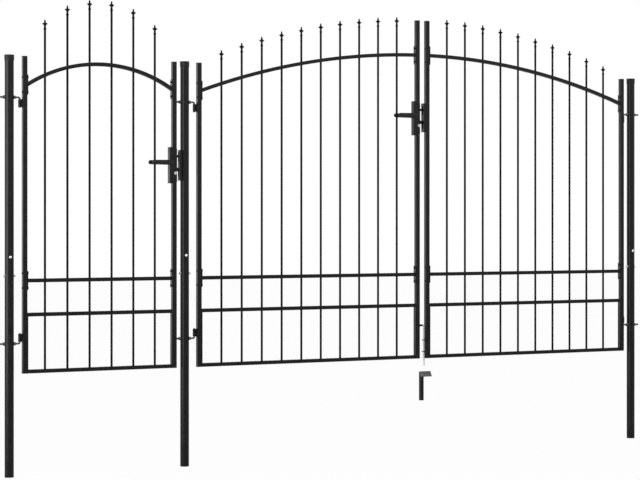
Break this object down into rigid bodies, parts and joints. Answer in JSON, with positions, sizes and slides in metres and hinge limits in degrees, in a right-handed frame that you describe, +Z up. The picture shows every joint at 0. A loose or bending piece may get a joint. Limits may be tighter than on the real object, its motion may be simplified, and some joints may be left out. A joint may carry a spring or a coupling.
{
  "type": "wrought iron style driveway gate with walk gate",
  "caption": "Arched steel bar gate with spear heads: a walk gate and a two-leaf drive gate on round posts, with locks and a drop rod.",
  "frame": {"origin": "centre of the middle post's closed foot", "axes": "+X along the gates to the drive gate's far post, +Y to the side the leaves open to, +Z up"},
  "size_m": [4.062, 0.0715, 2.5048],
  "materials": {
    "black_coat": "satin black powder coat",
    "zinc": "galvanised",
    "black_plastic": "black moulded nylon",
    "lock_coat": "satin black, lock parts",
    "bar_coat": "satin black on round bars",
    "cast_coat": "satin black on castings"
  },
  "bodies": {
    "posts": {"post_left": "black_coat", "post_middle": "black_coat", "post_right": "black_coat", "post_caps": "black_plastic", "walk_hinge_bolts": "zinc", "left_hinge_bolts": "zinc", "right_hinge_bolts": "zinc", "walk_keeper": "lock_coat", "ground_stop": "black_coat"},
    "walk_leaf": {"walk_hinge_stile": "black_coat", "walk_lock_stile": "black_coat", "walk_stile_caps": "black_plastic", "walk_arch": "black_coat", "walk_rails": "black_coat", "walk_bars": "bar_coat", "walk_finials": "cast_coat", "walk_end_plates": "black_coat", "walk_hinge_barrels": "black_coat", "walk_lock_case": "lock_coat", "walk_lock_cylinder": "zinc"},
    "left_leaf": {"left_hinge_stile": "black_coat", "left_lock_stile": "black_coat", "left_stile_caps": "black_plastic", "left_arch": "black_coat", "left_rails": "black_coat", "left_bars": "bar_coat", "left_finials": "cast_coat", "left_end_plates": "black_coat", "left_hinge_barrels": "black_coat", "left_lock_case": "lock_coat", "left_lock_cylinder": "zinc"},
    "right_leaf": {"right_hinge_stile": "black_coat", "right_lock_stile": "black_coat", "right_stile_caps": "black_plastic", "right_arch": "black_coat", "right_rails": "black_coat", "right_bars": "bar_coat", "right_finials": "cast_coat", "right_end_plates": "black_coat", "right_hinge_barrels": "black_coat", "right_keeper": "lock_coat", "drop_rod_guides": "black_coat"},
    "walk_lever": {"walk_lever": "black_plastic"},
    "left_lever": {"left_lever": "black_plastic"},
    "drop_rod": {"drop_rod": "zinc"}
  },
  "joints": [
    {"name": "walk_leaf_hinge", "type": "hinge", "parent": "posts", "child": "walk_leaf", "pos_m": [-0.933, 0, 1.3], "axis": [0, 0, 1], "range_deg": [0, 100]},
    {"name": "left_leaf_hinge", "type": "hinge", "parent": "posts", "child": "left_leaf", "pos_m": [0.057, 0, 1.3], "axis": [0, 0, 1], "range_deg": [0, 100]},
    {"name": "right_leaf_hinge", "type": "hinge", "parent": "posts", "child": "right_leaf", "pos_m": [2.905, 0, 1.3], "axis": [0, 0, -1], "range_deg": [0, 100]},
    {"name": "walk_lever_turn", "type": "hinge", "parent": "walk_leaf", "child": "walk_lever", "pos_m": [-0.0895, -0.0125, 1.6505], "axis": [0, -1, 0], "range_deg": [0, 40], "stiffness_Nm_per_rad": 1.5, "springref_deg": -14.32},
    {"name": "left_lever_turn", "type": "hinge", "parent": "left_leaf", "child": "left_lever", "pos_m": [1.427, -0.0125, 1.9387], "axis": [0, -1, 0], "range_deg": [0, 40], "stiffness_Nm_per_rad": 1.5, "springref_deg": -14.32},
    {"name": "drop_rod_slide", "type": "slide", "parent": "right_leaf", "child": "drop_rod", "axis": [0, 0, 1], "range_m": [-0.07, 0]}
  ]
}
